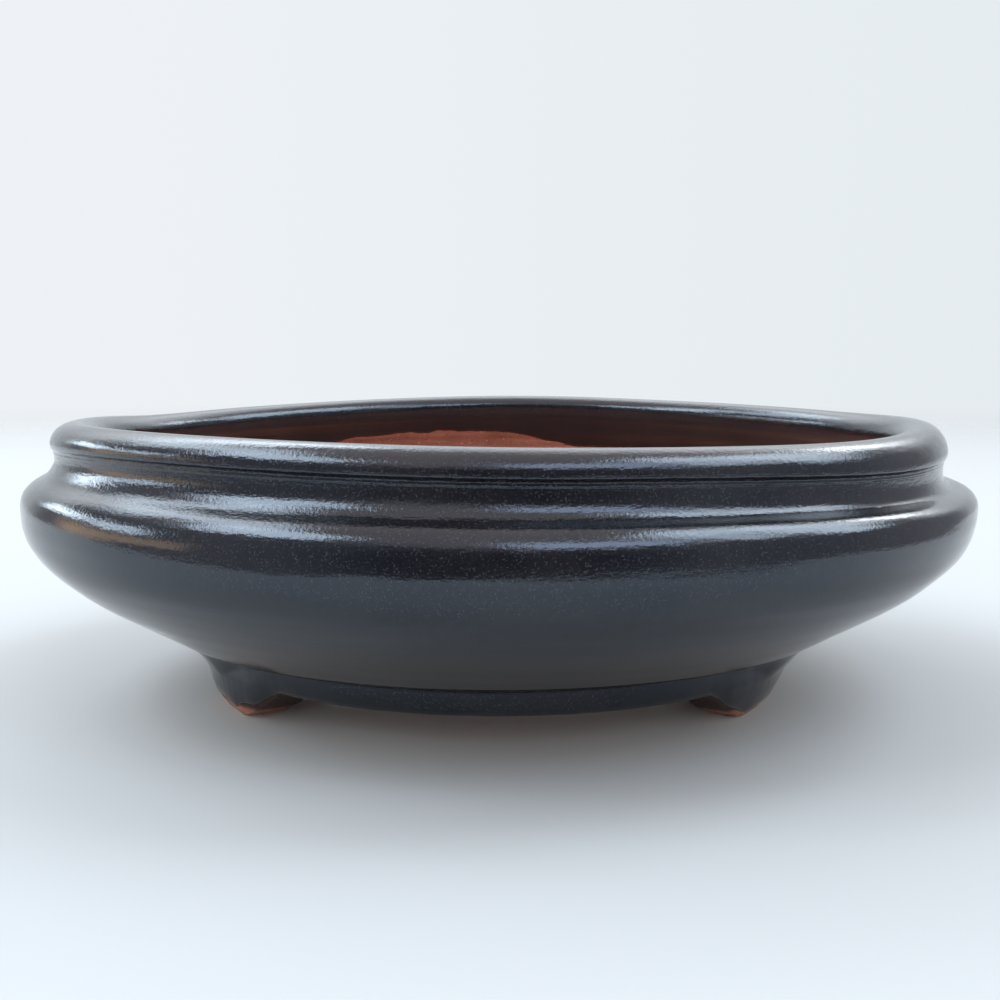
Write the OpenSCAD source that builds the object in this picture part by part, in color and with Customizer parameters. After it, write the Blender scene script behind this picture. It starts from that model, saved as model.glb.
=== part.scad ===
// Round bonsai pot on three bracket feet: a thrown bowl of red clay with a rolled lip,
// a necked-in shoulder and a full belly, standing on a raised base ring. A dark, glossy
// glaze covers the outside and runs over the lip a little way down the inner wall.
// Millimetres, +Z up. The origin is on the table, on the pot's axis. The front faces -Y.

/* [Bowl] */
// Widest radius, at the belly
belly_r = 90; // [89:0.5:91]
// Height of the belly's widest line
belly_z = 37; // [36:0.25:38]
// Radius of the curve at the belly's widest line
belly_curve = 13; // [12:0.25:14]
// Radius of the longer curve from the belly in under the bowl
flank_curve = 44; // [42:0.5:46]
// Height of the rim
rim_h = 52.5; // [51.8:0.1:53.5]
// Outer radius of the rolled lip
lip_r = 84.6; // [84.2:0.1:85.5]
// Radius of the mouth inside the lip
mouth_r = 75.4; // [74:0.2:77]
// Length of the ledge between the shoulder and the neck
ledge = 1.3; // [0.8:0.1:1.8]
// Thickness of the clay wall
wall = 5.6; // [4.5:0.1:6.5]
// Thickness of the clay floor
floor_t = 5.2; // [4:0.2:6]

/* [Glaze] */
// Thickness of the fired glaze
glaze_t = 0.45; // [0.3:0.05:0.5]
// Height of the glaze edge on the inner wall
drip_z = 42; // [41:0.5:43]
// Bare clay left at the bottom of each foot
bare_z = 1.2; // [0.8:0.1:2]
// Depth of the two fine lines turned into the neck
neck_line_depth = 0.25; // [0.1:0.05:0.25]

/* [Base ring] */
// Outer radius of the ring, over the glaze
ring_r = 58; // [57.5:0.1:58.2]
// Bore radius of the ring
ring_bore_r = 48.5; // [46:0.5:50]
// Height of the ring's lower edge above the table
ring_z = 7.1; // [6.5:0.1:7.5]

/* [Feet] */
// How far the left foot is turned from the front
foot_left_turn = 63; // [50:1:70]
// How far the right foot is turned from the front
foot_right_turn = 60; // [50:1:70]
// Width of the flat that a foot stands on
foot_w = 9; // [7:0.5:11]
// Radius of the round corners beside the flat
toe_curve = 9; // [6:0.5:10]
// Width of a foot from one end to the other, where its slopes meet the ring
foot_span = 41; // [37:1:44]
// Width of the part that climbs over the base ring
foot_cheek_w = 20; // [18:0.5:22]
// How far out a foot reaches under the bowl
foot_top_r = 62.4; // [61:0.2:63]

/* [Drainage] */
// Diameter of the drain hole
drain_d = 20; // [12:1:26]
// Diameter of the wire holes
wire_d = 5; // [4:0.5:6]
// Radius of the circle that the wire holes are on
wire_ring_r = 30; // [22:1:36]
// Number of wire holes
wire_count = 4; // [2:1:6]

/* [Hidden] */
$fn = 96;

clay_colour = "sienna";
glaze_colour = "darkslategray";

// Curves of the outline: where each arc has its centre, and how far it turns
belly_turn = 45;
belly_c = [belly_r - belly_curve, belly_z];
flank_turn = 60;
flank_c = belly_c + (belly_curve - flank_curve) * [cos(belly_turn), -sin(belly_turn)];
shoulder_curve = 4.8;
shoulder_turn = 65;
shoulder_c = [belly_r - shoulder_curve, belly_z + 0.8];
neck_curve = 3.9;
neck_c = shoulder_c + (shoulder_curve + neck_curve) * [cos(shoulder_turn), sin(shoulder_turn)]
    + ledge * [-sin(shoulder_turn), cos(shoulder_turn)];
neck_r = neck_c[0] - neck_curve;
lip_h = 2.5;
lip_c = [(lip_r + mouth_r) / 2, rim_h - lip_h];
lip_half = (lip_r - mouth_r) / 2;
lip_under_curve = 4;
lip_under_turn = 40;
lip_side_turn = 8;
neck_line_z = [rim_h - 5, rim_h - 6.15];
neck_line_curve = 0.6;
throat_turns = [188, 230];

// Underside: a cone from the flank in to the knee, then a flatter one to the groove
cone_tilt = 90 - flank_turn;
flank_end = flank_c + flank_curve * [cos(flank_turn), -sin(flank_turn)];
knee_r = 64.5;
knee = [knee_r, flank_end[1] - (flank_end[0] - knee_r) * tan(cone_tilt)];
groove = [58.7, 11.9];
groove_tilt = atan((knee[1] - groove[1]) / (knee[0] - groove[0]));
knee_tilt = (cone_tilt + groove_tilt) / 2;

// Base ring
bowl_bottom_z = 11.6;
ring_curve = 12;
ring_c = [ring_r - ring_curve, 13.2];
ring_low = -30;
ring_high = -8;
ring_corner_r = 57.3;
groove_corner_r = 57.6;
groove_edge_r = groove_corner_r + 0.4;
ring_flat_r = ring_c[0] + 9.6;

// Inside
floor_z = bowl_bottom_z + floor_t;
inner_curve = belly_curve - glaze_t - wall;
inner_flank_curve = flank_curve - glaze_t - wall;
inner_turn = 50;
floor_fillet = 12;

// Feet
web_t = 0.7;
toe_out_r = 55.2;
toe_in_r = 48;
toe_bevel = 1;
foot_inner_r = 49.4;
foot_turns = [-foot_left_turn, foot_right_turn, 180];
// How far a foot's face stands out beyond its toe, and at what height
foot_flare = [[0, 0], [0.8, bare_z], [1.5, 3.4], [2.0, 5.6], [2.8, 7.2], [5.0, 9.8]];
// A foot's outline is cut from a block that starts at this radius and is this long and high
foot_block_from = 40;
foot_block_run = 30;
foot_block_h = 14;
cheek_lean = 1;

// Points along an arc about c, from angle a0 to a1
function arc(c, r, a0, a1, n = 12) =
    [for (i = [0:n]) let (a = a0 + (a1 - a0) * i / n) c + r * [cos(a), sin(a)]];

// Points along the upper half of the lip's oval, from the outside over to the mouth
function lip_oval(t) =
    [for (i = [0:16]) let (a = 180 * i / 16) lip_c + [(lip_half - t) * cos(a), (lip_h - t) * sin(a)]];

// A point moved into the wall by t, square to a surface that climbs at the given tilt
function inset(p, tilt, t) = p + t * [-sin(tilt), cos(tilt)];

function reverse(p) = [for (i = [len(p) - 1:-1:0]) p[i]];

// Outer face of the bowl at depth t under the glaze, from the knee up to the mouth
function outer_face(t) = concat(
    [inset(knee, knee_tilt, t)],
    arc(flank_c, flank_curve - t, -flank_turn, -belly_turn, 6),
    arc(belly_c, belly_curve - t, -belly_turn, 0, 8),
    arc(shoulder_c, shoulder_curve - t, 0, shoulder_turn, 8),
    arc(neck_c, neck_curve + t, 180 + shoulder_turn, 180, 8),
    arc([lip_r - lip_under_curve, lip_c[1]], lip_under_curve - t, -lip_under_turn, -lip_side_turn, 4),
    lip_oval(t));

// Radius of the outside just under the lip, at height z
function under_lip_r(z) =
    max(neck_r, lip_r - lip_under_curve + sqrt(pow(lip_under_curve, 2) - pow(lip_c[1] - z, 2)));

// Inner face of the bowl at depth t, from the mouth down to the glaze edge
function throat(t) =
    arc([mouth_r + lip_under_curve, lip_c[1]], lip_under_curve - t, throat_turns[0], throat_turns[1], 4);
throat_foot = belly_c + inner_curve * [cos(inner_turn), sin(inner_turn)];

// The inner wall's face at height z on the straight stretch between throat and belly
function throat_r(z) =
    let (top = throat(glaze_t)[4])
    top[0] + (throat_foot[0] - top[0]) * (top[1] - z) / (top[1] - throat_foot[1]);

// Where the inner cone would meet the floor
inner_bottom = flank_c + inner_flank_curve * [cos(flank_turn), -sin(flank_turn)];
floor_corner_r = inner_bottom[0] - (inner_bottom[1] - floor_z) / tan(cone_tilt);
fillet_run = floor_fillet * tan(cone_tilt / 2);

// Outer face of the base ring at depth t, from its lower edge up
function ring_face(t) = arc(ring_c, ring_curve - t, ring_low, ring_high, 8);

// Clay surface of the underside, from the ring's top edge out to the knee
under_clay = [[ring_corner_r, bowl_bottom_z], [groove_corner_r, bowl_bottom_z],
              inset(groove, groove_tilt, glaze_t), inset(knee, knee_tilt, glaze_t)];

// Height of the clay underside between groove and knee, at radius r
function under_z(r) =
    under_clay[2][1] + (under_clay[3][1] - under_clay[2][1])
    * (r - under_clay[2][0]) / (under_clay[3][0] - under_clay[2][0]);

// Outer face of a foot at depth t, from the table up to the bowl's underside
function foot_face(t) = concat(
    [for (p = foot_flare) [toe_out_r + p[0] - t, p[1]]],
    [[foot_top_r - t, under_z(foot_top_r - t)]]);

module revolve(points) {
    rotate_extrude() polygon(points);
}

// Turns a shape that was built facing +X so that it faces away from the front by turn
module placed(turn) {
    rotate([0, 0, turn - 90]) children();
}

// Front outline of a foot: flat toe, round corners, slopes up to the ring, and cheeks over it
module foot_outline() {
    toe_c = [foot_w / 2, toe_curve];
    slope_end = [foot_span / 2, ring_z - web_t];
    reach = slope_end - toe_c;
    slope = atan2(reach[1], reach[0]) + asin(toe_curve / norm(reach));
    toe = arc(toe_c, toe_curve, -90, slope - 90, 6);
    web = [slope_end, [foot_span / 2, ring_z + web_t], [foot_cheek_w / 2, ring_z + web_t]];
    side = concat(toe, web, [[foot_cheek_w / 2 - cheek_lean, foot_block_h]]);
    polygon(concat(side, reverse([for (p = side) [-p[0], p[1]]])));
}

// What lies inside a foot's outline, as a block that runs out along the radius
module foot_block(turn) {
    placed(turn) translate([foot_block_from, 0, 0]) rotate([90, 0, 90])
        linear_extrude(height = foot_block_run) foot_outline();
}

module clay_foot(turn) {
    section = concat(
        [[foot_inner_r, ring_z], [toe_in_r, toe_bevel], [toe_in_r + toe_bevel, 0]],
        foot_face(glaze_t),
        reverse([for (i = [0:2]) under_clay[i]]),
        reverse(ring_face(glaze_t)),
        [[ring_flat_r, ring_z]]);
    color(clay_colour) intersection() {
        revolve(section);
        foot_block(turn);
    }
}

module glaze_foot(turn) {
    upper = [for (i = [1:len(foot_flare)]) i];
    skin = concat([for (i = upper) foot_face(0)[i]], reverse([for (i = upper) foot_face(glaze_t)[i]]));
    color(glaze_colour) intersection() {
        revolve(skin);
        foot_block(turn);
    }
}

module clay_bowl() {
    inside = concat(
        throat(glaze_t),
        arc(belly_c, inner_curve, inner_turn, -belly_turn, 10),
        arc(flank_c, inner_flank_curve, -belly_turn, -flank_turn, 4),
        arc([floor_corner_r - fillet_run, floor_z + floor_fillet], floor_fillet, 270 + cone_tilt, 270, 4),
        [[0, floor_z]]);
    color(clay_colour) difference() {
        revolve(concat([[0, bowl_bottom_z]], [for (i = [1:2]) under_clay[i]], outer_face(glaze_t), inside));
        translate([0, 0, bowl_bottom_z - 1]) cylinder(d = drain_d, h = floor_t + 2);
        for (i = [0:wire_count - 1])
            rotate([0, 0, 45 + 360 * i / wire_count])
                translate([wire_ring_r, 0, bowl_bottom_z - 1]) cylinder(d = wire_d, h = floor_t + 2);
    }
}

module clay_base_ring() {
    color(clay_colour) revolve(concat(
        [[ring_bore_r, ring_z], [ring_flat_r, ring_z]],
        ring_face(glaze_t),
        [[ring_corner_r, bowl_bottom_z], [ring_bore_r, bowl_bottom_z]]));
}

module glaze_bowl() {
    outside = concat(outer_face(0), throat(0), [[throat_r(drip_z) - glaze_t, drip_z]]);
    inside = concat(outer_face(glaze_t), throat(glaze_t), [[throat_r(drip_z), drip_z]]);
    color(glaze_colour) difference() {
        revolve(concat(outside, reverse(inside)));
        for (z = neck_line_z)
            rotate_extrude()
                translate([under_lip_r(z) + neck_line_curve - neck_line_depth, z])
                    circle(r = neck_line_curve, $fn = 24);
    }
}

module glaze_base_ring() {
    outside = concat(ring_face(0), [[groove_edge_r, bowl_bottom_z]], [groove, knee]);
    inside = concat(ring_face(glaze_t), under_clay);
    color(glaze_colour) difference() {
        revolve(concat(outside, reverse(inside)));
        for (turn = foot_turns) foot_block(turn);
    }
}

module foot_front_left() { clay_foot(foot_turns[0]); }
module foot_front_right() { clay_foot(foot_turns[1]); }
module foot_back() { clay_foot(foot_turns[2]); }
module glaze_foot_front_left() { glaze_foot(foot_turns[0]); }
module glaze_foot_front_right() { glaze_foot(foot_turns[1]); }
module glaze_foot_back() { glaze_foot(foot_turns[2]); }

clay_bowl();
clay_base_ring();
foot_front_left();
foot_front_right();
foot_back();
glaze_bowl();
glaze_base_ring();
glaze_foot_front_left();
glaze_foot_front_right();
glaze_foot_back();
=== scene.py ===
import math

import bpy
import numpy as np
from mathutils import Euler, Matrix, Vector


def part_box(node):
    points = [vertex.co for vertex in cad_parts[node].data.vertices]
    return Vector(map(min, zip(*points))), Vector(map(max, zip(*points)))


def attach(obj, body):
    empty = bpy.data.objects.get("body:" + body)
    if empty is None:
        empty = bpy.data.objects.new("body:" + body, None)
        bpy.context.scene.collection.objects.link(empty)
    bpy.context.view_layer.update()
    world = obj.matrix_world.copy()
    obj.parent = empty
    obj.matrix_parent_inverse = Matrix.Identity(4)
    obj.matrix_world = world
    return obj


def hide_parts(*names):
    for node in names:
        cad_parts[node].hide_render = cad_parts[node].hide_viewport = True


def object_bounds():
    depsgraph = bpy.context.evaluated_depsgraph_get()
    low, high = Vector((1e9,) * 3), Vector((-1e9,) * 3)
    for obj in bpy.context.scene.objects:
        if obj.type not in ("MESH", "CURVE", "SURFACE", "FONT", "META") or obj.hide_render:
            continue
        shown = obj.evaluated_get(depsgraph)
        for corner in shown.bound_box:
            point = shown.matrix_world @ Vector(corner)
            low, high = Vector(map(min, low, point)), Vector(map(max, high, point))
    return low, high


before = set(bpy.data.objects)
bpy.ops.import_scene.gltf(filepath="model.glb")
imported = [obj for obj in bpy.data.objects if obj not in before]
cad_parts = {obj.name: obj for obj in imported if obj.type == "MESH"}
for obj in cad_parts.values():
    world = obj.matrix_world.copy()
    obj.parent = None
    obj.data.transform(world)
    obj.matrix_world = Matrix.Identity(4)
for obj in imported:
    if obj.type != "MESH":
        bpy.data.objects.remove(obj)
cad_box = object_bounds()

# Round bonsai pot: high-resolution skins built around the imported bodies. All outlines are in
# millimetres as (radius, height) pairs, and every mesh is turned into metres when it is made.
MM = 0.001
TAU = 2 * math.pi

# ---------------------------------------------------------------- sizes
BELLY_R = cad_box[1].x / MM
RIM_H = cad_box[1].z / MM
RING_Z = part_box("clay_base_ring")[0].z / MM
BOWL_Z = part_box("clay_bowl")[0].z / MM
RING_R = 58.0
BORE_R = 48.5
# Half the turn that the ring's glaze leaves open for each foot, in degrees
RING_GAP = 18

GLAZE_T = 0.45
WALL = 5.6
FLOOR_T = 5.2
DRAIN_R = 10.0
WIRE_R = 2.5
WIRE_RING_R = 30.0
WIRE_MOUTH_R = 3.9
FLOOR_FILLET = 12.0
DRAIN_ROUND = 0.8

BELLY_CURVE = 13.0
FLANK_CURVE = 44.0
CONE_TILT = 30
BELLY_C = np.array([BELLY_R - BELLY_CURVE, 37.0])
FLANK_C = BELLY_C + (BELLY_CURVE - FLANK_CURVE) * np.array([1, -1]) * math.sqrt(0.5)
LIP_R = 84.6
MOUTH_R = 75.4
LIP_H = 2.5
LIP_C = np.array([(LIP_R + MOUTH_R) / 2, RIM_H - LIP_H])
THROAT_CURVE = 4.0
NECK_CURVE = 3.9
SHOULDER_CURVE = 4.8
SHOULDER_TURN = 65
LEDGE = 1.3
SHOULDER_C = np.array([BELLY_R - SHOULDER_CURVE, BELLY_C[1] + 0.8])
LEDGE_OUT = np.array([math.cos(math.radians(SHOULDER_TURN)), math.sin(math.radians(SHOULDER_TURN))])
NECK_C = (SHOULDER_C + (SHOULDER_CURVE + NECK_CURVE) * LEDGE_OUT
          + LEDGE * LEDGE_OUT[::-1] * (-1, 1))
NECK_R = NECK_C[0] - NECK_CURVE
KNEE = np.array([64.5, 13.55])
GROOVE = np.array([58.7, 11.9])
NECK_LINES = (RIM_H - 4.0, RIM_H - 5.2)
NECK_BAND_R = NECK_R + 0.2
STEP_CURVE = 0.7

FOOT_TURNS = {"front_left": -63, "front_right": 61, "back": 180}
# How far each foot's toe is drawn in under the pot, and how much bare clay shows at its edge
FOOT_TUCK = {"front_left": 0.0, "front_right": 1.5, "back": 0.6}
FOOT_BARE = {"front_left": 1.7, "front_right": 0.7, "back": 0.9}
TOE_HALF = 4.5
TOE_CURVE = 9.0
ARCH_HALF = 20.5
ARCH_Z = 6.4
FOOT_REACH = 24.0
SLOPE = (math.atan2(ARCH_Z - TOE_CURVE, ARCH_HALF - TOE_HALF)
         + math.asin(TOE_CURVE / math.hypot(ARCH_Z - TOE_CURVE, ARCH_HALF - TOE_HALF)))
# From a foot's face to the clay under its glaze, for each millimetre of glaze
UNDER_GLAZE = np.array([-0.8, 0.7])
FOOT_TOP_R = 63.6
FOOT_INNER_R = 49.4
TOE_INNER_R = 48.0


# ---------------------------------------------------------------- outlines
def arc(centre, radius, start, end):
    """Points along an arc, two degrees apart, in degrees from the outward direction."""
    count = max(3, int(abs(end - start) / 2) + 1)
    a = np.radians(np.linspace(start, end, count))
    return np.stack([centre[0] + radius * np.cos(a), centre[1] + radius * np.sin(a)], -1)


def oval(centre, half_wide, half_high, start, end):
    """Points along an upright oval."""
    return (arc((0, 0), 1.0, start, end) * (half_wide, half_high)) + centre


def joined(*parts):
    """One outline from several, without doubled points."""
    points = np.vstack([np.atleast_2d(np.asarray(p, float)) for p in parts])
    keep = np.r_[True, np.hypot(*np.diff(points, axis=0).T) > 1e-4]
    return points[keep]


def spaced(points, step):
    """The outline again, with its points step(point) apart."""
    fine = [points[:1]]
    for a, b in zip(points[:-1], points[1:]):
        count = max(1, int(math.hypot(*(b - a)) / 0.05))
        fine.append(a + (b - a) * (np.arange(1, count + 1) / count)[:, None])
    fine = np.vstack(fine)
    lengths = np.hypot(*np.diff(fine, axis=0).T)
    middles = (fine[1:] + fine[:-1]) / 2
    along = np.r_[0, np.cumsum(lengths / np.array([step(*m) for m in middles]))]
    marks = np.linspace(0, along[-1], int(round(along[-1])) + 1)
    return np.stack([np.interp(marks, along, fine[:, k]) for k in (0, 1)], -1)


def moved_in(points, depth):
    """The outline moved to its left by depth, which is into the wall for an outside going up."""
    way = np.gradient(points, axis=0)
    way /= np.hypot(way[:, 0], way[:, 1])[:, None]
    return points + depth * np.stack([-way[:, 1], way[:, 0]], -1)


def smooth_curve(points, count):
    """A curve through the points, with count points in each span."""
    p = np.asarray(points, float)
    p = np.vstack([2 * p[0] - p[1], p, 2 * p[-1] - p[-2]])
    t = (np.arange(count) / count)[:, None]
    spans = []
    for a, b, c, d in zip(p[:-3], p[1:-2], p[2:-1], p[3:]):
        spans.append(0.5 * (2 * b + (c - a) * t + (2 * a - 5 * b + 4 * c - d) * t**2
                            + (3 * b - a - 3 * c + d) * t**3))
    return np.vstack(spans + [p[-2:-1]])


def ramp(x, low, high):
    """0 below low, 1 above high, and smooth between."""
    t = np.clip((x - low) / (high - low), 0, 1)
    return t * t * (3 - 2 * t)


def lip_outside():
    """The lip from its widest line, low on its outer side, up to its crest."""
    a = np.radians(np.linspace(0, 90, 30))
    wide, high, squareness = LIP_R - LIP_C[0], 3.3, 1.88
    return np.stack([LIP_C[0] + wide * np.cos(a) ** (2 / squareness),
                     RIM_H - high + high * np.sin(a) ** (2 / squareness)], -1)


def throat():
    """The glazed curve from the lip's inner side down into the mouth."""
    return arc((MOUTH_R + THROAT_CURVE, LIP_C[1]), THROAT_CURVE, 188, 230)


def bowl_outside():
    """The glazed outside, from the knee up over the lip to the throat."""
    return joined(
        KNEE,
        arc(FLANK_C, FLANK_CURVE, -60, -45),
        arc(BELLY_C, BELLY_CURVE, -45, 0),
        arc(SHOULDER_C, SHOULDER_CURVE, 0, SHOULDER_TURN),
        arc(NECK_C, NECK_CURVE, 180 + SHOULDER_TURN, 180),
        arc((NECK_BAND_R - STEP_CURVE, NECK_LINES[1] + 0.3), STEP_CURVE, -35, -4),
        (NECK_BAND_R, NECK_LINES[0] - 0.6),
        arc((LIP_R - 0.06 - STEP_CURVE, NECK_LINES[0] + 0.35), STEP_CURVE, -60, -10),
        lip_outside(),
        oval(LIP_C, (LIP_R - MOUTH_R) / 2, LIP_H, 90, 180),
        throat(),
    )


def bowl_inside():
    """The bare inner face, from the throat down to the drain hole."""
    throat_end = moved_in(throat(), GLAZE_T)[-1]
    belly_r = BELLY_CURVE - GLAZE_T - WALL
    flank_r = FLANK_CURVE - GLAZE_T - WALL
    floor_z = BOWL_Z + FLOOR_T
    cone_top = arc(FLANK_C, flank_r, -60, -60)[0]
    corner_r = cone_top[0] - (cone_top[1] - floor_z) / math.tan(math.radians(CONE_TILT))
    fillet_run = FLOOR_FILLET * math.tan(math.radians(CONE_TILT / 2))
    fillet_c = (corner_r - fillet_run, floor_z + FLOOR_FILLET)
    return joined(
        throat_end,
        arc(BELLY_C, belly_r, 50, -45),
        arc(FLANK_C, flank_r, -45, -60),
        arc(fillet_c, FLOOR_FILLET, -60, -90),
        (DRAIN_R + DRAIN_ROUND, floor_z),
        arc((DRAIN_R + DRAIN_ROUND, floor_z - DRAIN_ROUND), DRAIN_ROUND, 90, 180),
    )


def ring_face():
    """The ring's own face: nearly flat, leaning in toward its rounded lower edge."""
    return joined(
        arc((55.75, RING_Z + 0.75), 0.75, -90, -28),
        arc((RING_R - 12, 13.2), 12.0, -26, -8))


def ring_outside():
    """The glazed base ring and the underside, from the ring's lower edge out to the knee."""
    return joined(ring_face(), smooth_curve([(58.1, 11.6), (58.3, 11.8), GROOVE + (0.2, 0.03),
                                             (60.4, 12.38), KNEE], 6))


# ---------------------------------------------------------------- hand-made unevenness
def waves(points, length, seed, stretch=(1, 1, 1)):
    """A smooth random field of about unit size, with waves about length millimetres long."""
    rng = np.random.default_rng(seed)
    total = 0
    for _ in range(14):
        way = rng.normal(size=3)
        way *= 1 / (np.linalg.norm(way) * length * rng.uniform(0.7, 1.5))
        total = total + np.cos(TAU * (points @ (way / np.array(stretch)) + rng.uniform()))
    return total / math.sqrt(7)


# How far the rim stands above or below true, by the turn from the front
RIM_RISE = ((-135, -1.3), (-112, -1.7), (-88, -0.4), (-40, 0.7), (8, 0.0), (48, -0.7),
             (84, -0.2), (112, -0.95), (145, -0.65), (180, 0.0))


def around(pairs, turn):
    """A smooth closed curve through (degrees, value) pairs."""
    known = sorted(pairs)
    wrapped = [(a - 360, v) for a, v in known] + known + [(a + 360, v) for a, v in known]
    curve = smooth_curve(wrapped, 12)
    return np.interp(np.degrees(turn), curve[:, 0], curve[:, 1])


# How far the neck and the outer edge of the lip stand above or below true
NECK_RISE = ((-150, -0.2), (-110, -0.5), (-75, -0.5), (-55, 0.0), (-38, 0.2), (-22, 0.1), (0, 0.0),
             (15, 0.0), (28, -0.25), (42, -0.85), (52, -1.25), (62, -1.5), (75, -1.7), (95, -1.6),
             (130, -0.8), (165, -0.1))


def hand_made(points):
    """Moves points as the potter's hands and the kiln left them: a rim that isn't quite level."""
    turn = np.arctan2(points[..., 0], -points[..., 1])
    z = points[..., 2]
    out = points.copy()
    out[..., 2] += around(RIM_RISE, turn) * ramp(z, 38, 50)
    out[..., 2] += around(NECK_RISE, turn) * ramp(z, 37.5, 44) * (1 - 0.85 * ramp(z, 49, 52.4))
    out[..., 2] -= 0.8 * np.sin(turn) * np.exp(-(((z - 44.3) / 1.8) ** 2))
    return out


# ---------------------------------------------------------------- meshes
def make_piece(name, verts, faces, material, replaces):
    mesh = bpy.data.meshes.new(name)
    mesh.from_pydata((np.asarray(verts) * MM).tolist(), [], faces)
    mesh.update()
    mesh.validate()
    mesh.shade_smooth()
    mesh.materials.append(material)
    piece = bpy.data.objects.new(name, mesh)
    bpy.context.scene.collection.objects.link(piece)
    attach(piece, "root")
    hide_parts(replaces)
    return piece


def swept_faces(columns, rows, closed, start=0):
    """Quads over a sweep of closed loops of rows points, with flat ends unless it is closed."""
    faces = []
    for c in range(columns if closed else columns - 1):
        here = start + c * rows
        there = start + (c + 1) % columns * rows
        for r in range(rows):
            s = (r + 1) % rows
            faces.append((here + r, there + r, there + s, here + s))
    if not closed:
        faces.append(tuple(start + r for r in range(rows)))
        faces.append(tuple(start + (columns - 1) * rows + r for r in reversed(range(rows))))
    return faces


def turned(outline, turns):
    """Points of a (radius, height) outline at each turn: an array of turn, point, xyz."""
    r, z = outline[..., 0], outline[..., 1]
    if outline.ndim == 2:
        r, z = np.tile(r, (len(turns), 1)), np.tile(z, (len(turns), 1))
    return np.stack([r * np.sin(turns)[:, None], -r * np.cos(turns)[:, None], z], -1)


def radial(points, amount):
    """Moves points along their radius by an amount in millimetres each."""
    r = np.hypot(points[..., 0], points[..., 1])
    out = points.copy()
    out[..., 0] *= 1 + amount / r
    out[..., 1] *= 1 + amount / r
    return out


def all_turns(count):
    return np.arange(count) / count * TAU


# ---------------------------------------------------------------- the pieces
def bowl_step(r, z):
    """How far apart the rows of the bowl's skin are: closest at the two turned neck lines."""
    if r > NECK_R - 1 and min(NECK_LINES) - 0.5 < z < max(NECK_LINES) + 0.6:
        return 0.1
    if z > 40:
        return 0.42
    return 0.72


# Height of the glaze's lower edge on the inner wall, by the turn from the front
EDGE_INSIDE = ((-175, 43.4), (-163, 43.3), (-154, 42.6), (-147, 40.9), (-120, 40.3), (-60, 40.8),
               (0, 40.2), (60, 40.7), (120, 40.3), (160, 39.5), (168, 39.9), (172, 41.2),
               (175.5, 42.5), (179.5, 43.3))


def glaze_edge_inside(turns):
    at = np.stack([75 * np.sin(turns), -75 * np.cos(turns), 0 * turns], -1)
    return around(EDGE_INSIDE, turns) + 0.16 * waves(at, 9, 31) + 0.06 * waves(at, 3, 32)


def build_bowl_glaze(material):
    turns = all_turns(540)
    outside = spaced(bowl_outside(), bowl_step)
    wall = spaced(bowl_inside()[:20], lambda r, z: 0.6)
    wall = wall[wall[:, 1] > 36]
    edge = glaze_edge_inside(turns)
    loops = []
    shared = turned(outside, turns)
    for low in edge:
        down = np.linspace(outside[-1, 1], low, 12)[1:]
        wall_r = np.interp(-down, -wall[:, 1], wall[:, 0])
        bead = GLAZE_T * np.sqrt(1 - np.linspace(0, 1, 11) ** 6)
        loops.append(np.stack([wall_r - bead, down], -1))
    runs = turned(np.array(loops), turns)
    under = spaced(moved_in(bowl_outside(), GLAZE_T), lambda r, z: 3.2 if z < 40 else 1.6)
    back = turned(under[::-1], turns)
    foot = np.array([[np.interp(-e, -wall[:, 1], wall[:, 0]) + 0.02, e + 0.15] for e in edge])
    foot = turned(foot[:, None, :], turns)
    points = np.concatenate([shared, runs, foot, back], 1)
    outer = len(outside)
    line_z = points[:, :outer, 2]
    at = points[:, :outer]
    peel = 0.022 * waves(at, 12, 11, (2, 2, 1)) + 0.005 * waves(at, 4, 12, (2, 2, 1))
    rings = 0.03 * waves(at * (0.05, 0.05, 1), 3.0, 13)
    points[:, :outer] = radial(at, (peel + rings) * ramp(line_z, 11.0, 16.0) - 0.05)
    points = hand_made(points)
    columns, rows = points.shape[:2]
    make_piece("Bowl_glaze", points.reshape(-1, 3), swept_faces(columns, rows, True),
               material, "glaze_bowl")


def build_bowl_clay(material):
    turns = all_turns(420)
    inside = spaced(bowl_inside(), lambda r, z: 0.62)
    outside = spaced(moved_in(bowl_outside(), GLAZE_T + 0.03),
                     lambda r, z: 0.8 if z > 40 else 2.4)
    underside = spaced(joined(
        arc((DRAIN_R + 0.6, BOWL_Z + 0.6), 0.6, 180, 270),
        (57.3, BOWL_Z), (57.9, BOWL_Z),
        moved_in(joined(GROOVE, KNEE), GLAZE_T)), lambda r, z: 1.5)
    outline = joined(underside, outside, inside)
    inner_from = len(underside) + len(outside)
    points = turned(outline, turns)
    at = points[:, inner_from:]
    r = np.hypot(at[..., 0], at[..., 1])
    twist = np.arctan2(at[..., 0], -at[..., 1]) / TAU
    along = at[..., 2] - r
    groove = np.cos(TAU * (along / 3.4 + twist))
    depth = 0.13 + 0.05 * waves(at, 25, 21)
    free = ramp(r, DRAIN_R + 1, DRAIN_R + 4)
    lift = groove * depth * free + 0.05 * waves(at, 5, 22) * free
    steep = ramp(at[..., 2], 17, 24)
    moved = radial(at, -lift * steep)
    moved[..., 2] += lift * (1 - steep)
    points[:, inner_from:] = moved
    points = hand_made(points)
    columns, rows = points.shape[:2]
    piece = make_piece("Bowl_clay", points.reshape(-1, 3), swept_faces(columns, rows, True),
                       material, "clay_bowl")
    cut_wire_holes(piece)


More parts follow.
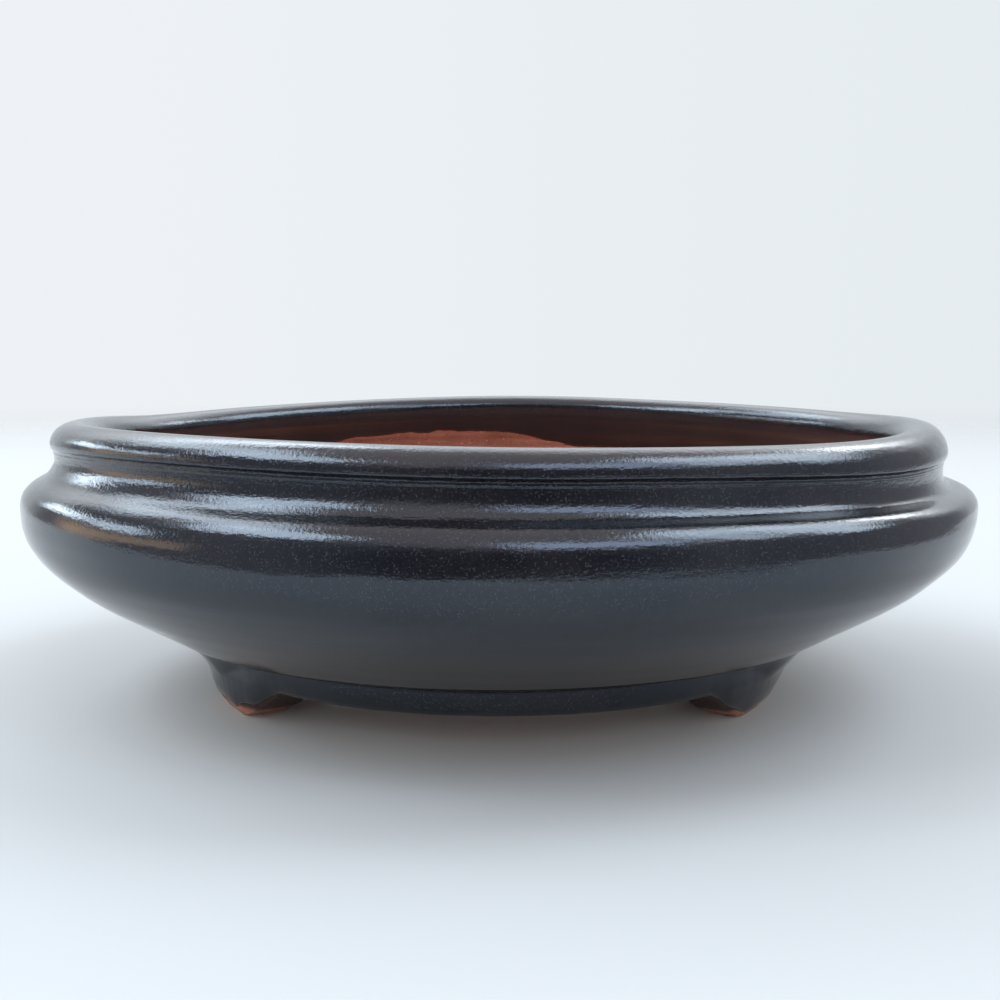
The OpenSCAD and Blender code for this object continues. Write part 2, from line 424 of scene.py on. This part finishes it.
def cut_wire_holes(piece):
    """Drills the four holes for tying wires, a little wider where they come out."""
    sides = 48
    outline = np.array([(WIRE_MOUTH_R, BOWL_Z - 1), (WIRE_R, BOWL_Z + 0.6),
                        (WIRE_R, BOWL_Z + FLOOR_T - 0.6), (WIRE_MOUTH_R, BOWL_Z + FLOOR_T + 1)])
    verts, faces = [], []
    for turn in np.radians([45, 135, 225, 315]):
        shape = turned(outline, all_turns(sides))
        shape += WIRE_RING_R * np.array([math.sin(turn), -math.cos(turn), 0])
        first = len(verts)
        verts += shape.reshape(-1, 3).tolist()
        for c in range(sides):
            here, there = first + 4 * c, first + 4 * ((c + 1) % sides)
            faces += [(here + r, there + r, there + r + 1, here + r + 1) for r in range(3)]
        faces.append(tuple(first + 4 * c for c in reversed(range(sides))))
        faces.append(tuple(first + 4 * c + 3 for c in range(sides)))
    mesh = bpy.data.meshes.new("Wire_hole_cutter")
    mesh.from_pydata((np.array(verts) * MM).tolist(), [], faces)
    cutter = bpy.data.objects.new("Wire_hole_cutter", mesh)
    bpy.context.scene.collection.objects.link(cutter)
    holes = piece.modifiers.new("Wire_holes", "BOOLEAN")
    holes.operation = "DIFFERENCE"
    holes.solver = "EXACT"
    holes.object = cutter
    graph = bpy.context.evaluated_depsgraph_get()
    piece.data = bpy.data.meshes.new_from_object(piece.evaluated_get(graph))
    piece.modifiers.clear()
    bpy.data.objects.remove(cutter)


def build_ring_clay(material):
    turns = all_turns(360)
    outline = spaced(joined(
        (BORE_R + 0.6, RING_Z), (55.2, RING_Z),
        moved_in(ring_face()[2:], GLAZE_T),
        (57.3, BOWL_Z + 0.05), (BORE_R, BOWL_Z + 0.05),
        arc((BORE_R + 0.8, RING_Z + 0.8), 0.8, 180, 262)), lambda r, z: 0.6)
    points = turned(outline, turns)
    points = radial(points, 0.06 * waves(points, 8, 41))
    columns, rows = points.shape[:2]
    make_piece("Base_ring_clay", points.reshape(-1, 3), swept_faces(columns, rows, True),
               material, "clay_base_ring")


def ring_lumps(points):
    """Unevenness that the glaze of the ring and of the feet has in common."""
    return 0.03 * waves(points, 8, 51, (2, 2, 1)) + 0.012 * waves(points, 2.6, 52) - 0.03


def build_ring_glaze(material):
    outside = spaced(ring_outside(), lambda r, z: 0.28)
    inside = spaced(moved_in(ring_outside(), GLAZE_T), lambda r, z: 1.2)[::-1]
    outline = joined(outside, inside)
    gap = math.radians(RING_GAP)
    feet = sorted(math.radians(t) for t in FOOT_TURNS.values())
    ends = feet + [feet[0] + TAU]
    verts, faces = [], []
    for a, b in zip(ends[:-1], ends[1:]):
        turns = np.linspace(a + gap, b - gap, int((b - a) / TAU * 480))
        points = turned(outline, turns)
        at = points[:, :len(outside)]
        points[:, :len(outside)] = radial(at, ring_lumps(at))
        faces += swept_faces(*points.shape[:2], False, len(verts))
        verts += points.reshape(-1, 3).tolist()
    make_piece("Base_ring_glaze", verts, faces, material, "glaze_base_ring")


def foot_low(u):
    """Height of a foot's lower outline at u from its middle: flat toe, round corner, slope."""
    past = abs(u) - TOE_HALF
    if past < 0:
        return 0.0
    if past < TOE_CURVE * math.sin(SLOPE):
        return TOE_CURVE - math.sqrt(TOE_CURVE**2 - past**2)
    slope = ARCH_Z - (ARCH_HALF - abs(u)) * math.tan(SLOPE)
    return slope + (RING_Z - slope) * ramp(abs(u), 13.0, FOOT_REACH)


def foot_skin(u, tuck):
    """Outer face of a foot at u, from the bowl's underside down to its lower outline."""
    rows = 46
    base = ring_outside()[::-1]
    base = base[base[:, 0] < FOOT_TOP_R]
    face = smooth_curve([(62.9, 13.1), (61.6, 11.6), (60.0, 9.8), (58.3, 7.6), (57.5, 5.6),
                         (57.0, 3.4), (56.2, 1.2), (55.1, 0.0)], 8)
    way = np.linspace(0, 1, rows)
    even = []
    for line in (base, face):
        run = np.r_[0, np.cumsum(np.hypot(*np.diff(line, axis=0).T))]
        even.append(np.stack([np.interp(way, run / run[-1], line[:, k]) for k in (0, 1)], -1))
    bottom = 1 - foot_low(u) / RING_Z
    top = 0.9 * (1 - ramp(abs(u), 2.0, 12.0))
    share = top + (bottom - top) * ramp(way, 0.2, 0.95)
    mixed = even[0] + (even[1] - even[0]) * share[:, None]
    drawn_in = tuck * share * np.clip(1 - (mixed[:, 1] / 9) ** 2, 0, 1)
    proud = 0.11 * ramp(way, 0.0, 0.1) * ramp(FOOT_REACH - abs(u), 0.3, 4.0) - 0.07
    ridge = 0.14 * np.exp(-(((mixed[:, 1] - RING_Z - 0.75) / 0.9) ** 2)) * ramp(bottom, 0.1, 0.4)
    mixed[:, 0] += proud + ridge - drawn_in
    return mixed


def placed_foot(outline, u, turn):
    """Points of a foot's section at u beside its middle, turned to where the foot stands."""
    out = np.sqrt(np.clip(outline[:, 0] ** 2 - u * u, 0, None))
    a = math.radians(turn)
    x = out * math.sin(a) + u * math.cos(a)
    y = -out * math.cos(a) + u * math.sin(a)
    return np.stack([x, y, outline[:, 1]], -1)


def foot_clay_section(outer, low):
    """Closed outline of a foot's clay: its face, its underside and the part inside the ring."""
    skin = outer + GLAZE_T * UNDER_GLAZE
    lean = (RING_Z - low) / RING_Z
    inner_low = FOOT_INNER_R + (TOE_INNER_R - FOOT_INNER_R) * lean
    edge = 0.45 * lean + 0.05
    out = skin[-1, 0]
    return np.vstack([
        skin[:-1] * (1, 0) + np.maximum(skin[:-1], low + 0.3 * edge) * (0, 1),
        [(out - 0.25 * edge, low + 0.12 * edge), (out - edge, low),
         ((out + inner_low) / 2, low), (inner_low + edge, low),
         (inner_low + 0.25 * edge, low + 0.25 * edge), (inner_low, low + edge),
         (FOOT_INNER_R, RING_Z + 0.9), (52.5, 9.5), (57.0, 12.2)]])


def foot_glaze_section(outer, edge_z):
    """Closed outline of a foot's glaze, rounded off at its lower edge."""
    marks = np.linspace(0, 1, 44)
    last = np.interp(-edge_z, -outer[:, 1], np.arange(len(outer)))
    cover = np.stack([np.interp(marks * last, np.arange(len(outer)), outer[:, k])
                      for k in (0, 1)], -1)
    back = cover + (GLAZE_T + 0.02) * UNDER_GLAZE
    front = back + (cover - back) * (1 - 0.9 * marks**14)[:, None]
    return np.vstack([front, back[::-4]])


def build_foot(side, turn, clay, glaze):
    seed = 60 + list(FOOT_TURNS).index(side) * 10
    phase = np.random.default_rng(seed).uniform(0, TAU, 2)
    clay_loops, glaze_loops = [], []
    for u in np.linspace(-FOOT_REACH, FOOT_REACH, 120):
        low = foot_low(u)
        uneven = 1 + 0.22 * math.sin(u * 0.6 + phase[0]) + 0.05 * math.sin(u * 1.9 + phase[1])
        bare = FOOT_BARE[side] * uneven * (1 - 0.7 * ramp(low, 0.2, 3.0) - 0.3 * ramp(low, 3.0, 6.5))
        face = foot_skin(u, FOOT_TUCK[side])
        clay_loops.append(placed_foot(foot_clay_section(face, low), u, turn))
        glaze_loops.append(placed_foot(foot_glaze_section(face, low + bare), u, turn))
    clay_points = np.array(clay_loops)
    clay_points = radial(clay_points, 0.05 * waves(clay_points, 5, seed + 1) - 0.05)
    glaze_points = np.array(glaze_loops)
    glaze_points = radial(glaze_points, ring_lumps(glaze_points))
    for points, name, material, node, slot in (
            (clay_points, f"Foot_{side}_clay", clay, f"foot_{side}", "bare_clay"),
            (glaze_points, f"Foot_{side}_glaze", glaze, f"glaze_foot_{side}", "dark_glaze")):
        columns, rows = points.shape[:2]
        make_piece(name, points.reshape(-1, 3), swept_faces(columns, rows, False),
                   material, node)


# ---------------------------------------------------------------- materials
def new_material(name):
    material = bpy.data.materials.new(name)
    material.use_nodes = True
    tree = material.node_tree
    return material, tree, tree.nodes["Principled BSDF"]


def scaled_place(tree, scale):
    """The piece's own coordinates in metres, times scale."""
    coords = tree.nodes.new("ShaderNodeTexCoord")
    mapping = tree.nodes.new("ShaderNodeMapping")
    mapping.inputs["Scale"].default_value = scale
    tree.links.new(coords.outputs["Object"], mapping.inputs["Vector"])
    return mapping.outputs["Vector"]


def noise(tree, scale, detail=2.0, roughness=0.5):
    node = tree.nodes.new("ShaderNodeTexNoise")
    node.inputs["Scale"].default_value = 1.0
    node.inputs["Detail"].default_value = detail
    node.inputs["Roughness"].default_value = roughness
    tree.links.new(scaled_place(tree, scale), node.inputs["Vector"])
    return node.outputs["Fac"]


def spread(tree, value, low, high, to_low=0.0, to_high=1.0):
    node = tree.nodes.new("ShaderNodeMapRange")
    node.interpolation_type = "SMOOTHSTEP"
    for key, number in (("From Min", low), ("From Max", high), ("To Min", to_low),
                        ("To Max", to_high)):
        node.inputs[key].default_value = number
    tree.links.new(value, node.inputs["Value"])
    return node.outputs["Result"]


def math_node(tree, operation, a, b):
    node = tree.nodes.new("ShaderNodeMath")
    node.operation = operation
    for socket, value in zip(node.inputs, (a, b)):
        if isinstance(value, (int, float)):
            socket.default_value = value
        else:
            tree.links.new(value, socket)
    return node.outputs[0]


def blend_colours(tree, share, a, b):
    """Colour a where share is 0 and b where it is 1; each is a colour or a socket."""
    node = tree.nodes.new("ShaderNodeMix")
    node.data_type = "RGBA"
    tree.links.new(share, node.inputs[0])
    for socket, value in ((node.inputs[6], a), (node.inputs[7], b)):
        if isinstance(value, tuple):
            socket.default_value = (*value, 1)
        else:
            tree.links.new(value, socket)
    return node.outputs[2]


def bump(tree, height, depth, below=None):
    node = tree.nodes.new("ShaderNodeBump")
    node.inputs["Distance"].default_value = depth
    node.inputs["Strength"].default_value = 1.0
    tree.links.new(height, node.inputs["Height"])
    if below is not None:
        tree.links.new(below, node.inputs["Normal"])
    return node.outputs["Normal"]


def glaze_material():
    """Black-blue gloss glaze: fine flecks, faint clouds, and a grain that is coarser higher up."""
    material, tree, shader = new_material("Dark_gloss_glaze")
    shader.inputs["IOR"].default_value = 1.68
    shader.inputs["Specular Tint"].default_value = (0.74, 0.85, 1.0, 1)
    fleck = spread(tree, noise(tree, (3200,) * 3, 1.0), 0.54, 0.74)
    cloud = spread(tree, noise(tree, (60, 60, 110), 3.0), 0.35, 0.68)
    ground = blend_colours(tree, cloud, (0.0040, 0.0040, 0.0056), (0.0080, 0.0072, 0.0080))
    tree.links.new(blend_colours(tree, fleck, ground, (0.021, 0.023, 0.029)),
                   shader.inputs["Base Color"])
    rough = spread(tree, noise(tree, (900, 900, 1500), 2.0), 0.3, 0.7, 0.06, 0.11)
    tree.links.new(rough, shader.inputs["Roughness"])
    height = tree.nodes.new("ShaderNodeSeparateXYZ")
    tree.links.new(scaled_place(tree, (1000,) * 3), height.inputs[0])
    coarser = spread(tree, height.outputs["Z"], 32, 46, 0.2, 1.0)
    streaks = math_node(tree, "MULTIPLY", noise(tree, (280, 280, 1500), 2.0), coarser)
    grains = math_node(tree, "MULTIPLY", noise(tree, (1700, 1700, 2300), 3.0, 0.6), coarser)
    peel = bump(tree, streaks, 0.000060)
    tree.links.new(bump(tree, grains, 0.000060, peel), shader.inputs["Normal"])
    return material


def clay_material():
    """Fired red clay: dull, with grit, dark flecks and pale dust, and a painted dark-brown shade in
    the foot arches where they stand in shadow.
    """
    material, tree, shader = new_material("Bare_red_clay")
    shader.inputs["IOR"].default_value = 1.45
    cloud = spread(tree, noise(tree, (90, 90, 140), 4.0), 0.3, 0.7)
    grit = spread(tree, noise(tree, (2400,) * 3, 2.0), 0.58, 0.72)
    pale = spread(tree, noise(tree, (1400,) * 3, 1.0), 0.64, 0.76)
    ground = blend_colours(tree, cloud, (0.245, 0.100, 0.070), (0.345, 0.145, 0.103))
    ground = blend_colours(tree, grit, ground, (0.135, 0.052, 0.038))
    ground = blend_colours(tree, pale, ground, (0.46, 0.27, 0.215))
    height = tree.nodes.new("ShaderNodeSeparateXYZ")
    tree.links.new(scaled_place(tree, (1000,) * 3), height.inputs[0])
    # Painted shade: the clay from 1.6 to 7.6 mm up, between the toes and the ring, is darkened to
    # near black-brown to stand in for the shadow under the foot arches.
    over_toe = spread(tree, height.outputs["Z"], 1.6, 2.8)
    under_ring = spread(tree, height.outputs["Z"], 7.6, 6.8)
    painted_arch_shade = math_node(tree, "MULTIPLY", over_toe, under_ring)
    tree.links.new(blend_colours(tree, painted_arch_shade, ground, (0.035, 0.019, 0.016)),
                   shader.inputs["Base Color"])
    tree.links.new(spread(tree, noise(tree, (800,) * 3), 0.3, 0.7, 0.62, 0.85),
                   shader.inputs["Roughness"])
    grain = bump(tree, noise(tree, (1800,) * 3, 3.0), 0.00003)
    tree.links.new(grain, shader.inputs["Normal"])
    return material


# ---------------------------------------------------------------- stage
TABLE_CORNERS = ((-0.60, 0.09), (-0.178, -0.118), (-0.070, -0.170), (0.080, -0.170),
                 (0.193, -0.066), (0.231, -0.010), (0.50, 0.40), (0.40, 1.50), (-0.60, 1.50))
BACKDROP_LEFT = (0.85, 0.885, 0.915)
BACKDROP_RIGHT = (0.79, 0.84, 0.875)
TOP_FILL = (0.50, 0.50, 0.50)
LEFT_FILL = (1.65, 1.65, 1.63)
RIGHT_FILL = (1.40, 1.41, 1.43)
BACK_FILL = (2.45, 2.43, 2.40)
LOW_FILL = (3.7, 3.45, 3.3)


def floor_material(name, fade):
    """Pale matt paper; past the fade radii it lets the backdrop through."""
    material, tree, shader = new_material(name)
    shader.inputs["Base Color"].default_value = (0.425, 0.435, 0.445, 1)
    shader.inputs["Roughness"].default_value = 0.9
    shader.inputs["Specular IOR Level"].default_value = 0.1
    coords = tree.nodes.new("ShaderNodeTexCoord")
    length = tree.nodes.new("ShaderNodeVectorMath")
    length.operation = "LENGTH"
    tree.links.new(coords.outputs["Object"], length.inputs[0])
    tree.links.new(spread(tree, length.outputs["Value"], *fade, 1.0, 0.0), shader.inputs["Alpha"])
    return material


def flat_sheet(name, corners, height, material):
    mesh = bpy.data.meshes.new(name)
    mesh.from_pydata([(x, y, height) for x, y in corners], [], [tuple(range(len(corners)))])
    mesh.materials.append(material)
    sheet = bpy.data.objects.new(name, mesh)
    bpy.context.scene.collection.objects.link(sheet)
    return sheet


def build_floor():
    """An even floor, and the part of it that is table top, which is all that the glaze mirrors."""
    far = 2.0
    paper = floor_material("Floor_paper", (0.42, 1.1))
    floor = flat_sheet("Floor", [(-far, -far), (far, -far), (far, far), (-far, far)], 0.0, paper)
    floor.visible_glossy = False
    table = flat_sheet("Table_top", TABLE_CORNERS, 0.00003, paper)
    table.visible_camera = False
    table.visible_diffuse = False
    table.visible_shadow = False


def build_world():
    """An even backdrop for the camera, a room for the glaze to mirror, and soft fill light."""
    world = bpy.data.worlds.new("Studio")
    world.use_nodes = True
    bpy.context.scene.world = world
    tree = world.node_tree
    background = tree.nodes["Background"]
    coords = tree.nodes.new("ShaderNodeTexCoord")
    split = tree.nodes.new("ShaderNodeSeparateXYZ")
    tree.links.new(coords.outputs["Generated"], split.inputs[0])
    x, y, z = split.outputs
    sides = spread(tree, y, -1.0, -0.60)
    behind = spread(tree, y, 0.64, 0.78)
    above = spread(tree, z, 0.42, 0.80)
    mid_height = math_node(tree, "MULTIPLY", spread(tree, y, 0.56, 0.66), spread(tree, z, 0.22, 0.42))
    room = blend_colours(tree, sides, (0.085, 0.085, 0.105), (0.36, 0.37, 0.41))
    room = blend_colours(tree, behind, room, (0.74, 0.80, 0.84))
    room = blend_colours(tree, above, room, (1.02, 0.89, 0.86))
    room = blend_colours(tree, mid_height, room, (1.9, 1.98, 2.05))
    low_front = math_node(tree, "MULTIPLY", spread(tree, y, 0.1, -0.5), spread(tree, z, 0.45, 0.1))
    fill = blend_colours(tree, spread(tree, x, -0.6, 0.2), LEFT_FILL, RIGHT_FILL)
    fill = blend_colours(tree, spread(tree, y, -0.1, 0.6), fill, BACK_FILL)
    fill = blend_colours(tree, spread(tree, z, 0.55, 0.9), fill, TOP_FILL)
    fill = blend_colours(tree, low_front, fill, LOW_FILL)
    across = spread(tree, x, -0.35, 0.35)
    backdrop = blend_colours(tree, across, BACKDROP_LEFT, BACKDROP_RIGHT)
    path = tree.nodes.new("ShaderNodeLightPath")
    light = blend_colours(tree, path.outputs["Is Diffuse Ray"], room, fill)
    tree.links.new(blend_colours(tree, path.outputs["Is Camera Ray"], light, backdrop),
                   background.inputs["Color"])


def soft_window(name, azimuth, elevation, wide, high, level, colour, lights_floor):
    """A window-like soft light; azimuth is from the front toward +X, all angles in degrees."""
    distance = 1.3
    a, e = math.radians(azimuth), math.radians(elevation)
    way = Vector((math.sin(a) * math.cos(e), -math.cos(a) * math.cos(e), math.sin(e)))
    lamp = bpy.data.lights.new(name, "AREA")
    lamp.shape = "RECTANGLE"
    lamp.size = 2 * distance * math.tan(math.radians(wide / 2))
    lamp.size_y = 2 * distance * math.tan(math.radians(high / 2))
    lamp.energy = level * math.pi * lamp.size * lamp.size_y
    lamp.color = colour
    holder = bpy.data.objects.new(name, lamp)
    holder.location = way * distance
    holder.rotation_euler = (-way).to_track_quat("-Z", "Y").to_euler()
    holder.visible_camera = False
    holder.visible_diffuse = lights_floor
    bpy.context.scene.collection.objects.link(holder)


def build_lights():
    """Windows of a room: their reflections on the glaze matter more than the light they give."""
    cool = (0.80, 0.92, 1.0)
    blue = (0.62, 0.78, 1.0)
    white = (0.96, 0.99, 1.0)
    for name, azimuth, elevation, wide, high, level, colour, lights_floor in (
            ("Right_window_1", 71, 54, 15, 30, 4.2, cool, False),
            ("Right_window_2", 100, 50, 18, 40, 5.0, cool, True),
            ("Right_window_3", 122, 47, 14, 22, 4.2, cool, True),
            ("Right_back_window", 141, 33, 12, 12, 5.5, white, False),
            ("Right_front_window", 27, 48, 32, 20, 3.4, blue, True),
            ("Left_window", -68, 48, 30, 20, 6.4, cool, True),
            ("Left_high_window", -104, 56, 24, 16, 4.6, cool, True),
            ("Left_back_window", -140, 43, 44, 16, 4.0, cool, True),
            ("Left_low_window_1", -94, 18, 20, 7, 6.0, cool, True),
            ("Left_low_window_2", -119, 17, 20, 7, 8.0, cool, True),
            ("Left_warm_wall", -92, 4, 44, 12, 1.5, (1.0, 0.64, 0.36), False)):
        soft_window(name, azimuth, elevation, wide, high, level, colour, lights_floor)


def build_camera():
    lens = bpy.data.cameras.new("Camera")
    lens.lens = 50.4
    lens.sensor_width = 36
    lens.clip_start = 0.01
    camera = bpy.data.objects.new("Camera", lens)
    camera.location = (0.0002, -0.2758, 0.0689)
    camera.rotation_euler = Euler((math.radians(90 - 6.9), 0, 0))
    bpy.context.scene.collection.objects.link(camera)
    bpy.context.scene.camera = camera


# ---------------------------------------------------------------- the scene
bpy.context.scene.view_settings.view_transform = "Standard"
glaze_look = glaze_material()
clay_look = clay_material()
build_bowl_clay(clay_look)
build_bowl_glaze(glaze_look)
build_ring_clay(clay_look)
build_ring_glaze(glaze_look)
for foot_side, foot_turn in FOOT_TURNS.items():
    build_foot(foot_side, foot_turn, clay_look, glaze_look)
build_floor()
build_world()
build_lights()
build_camera()
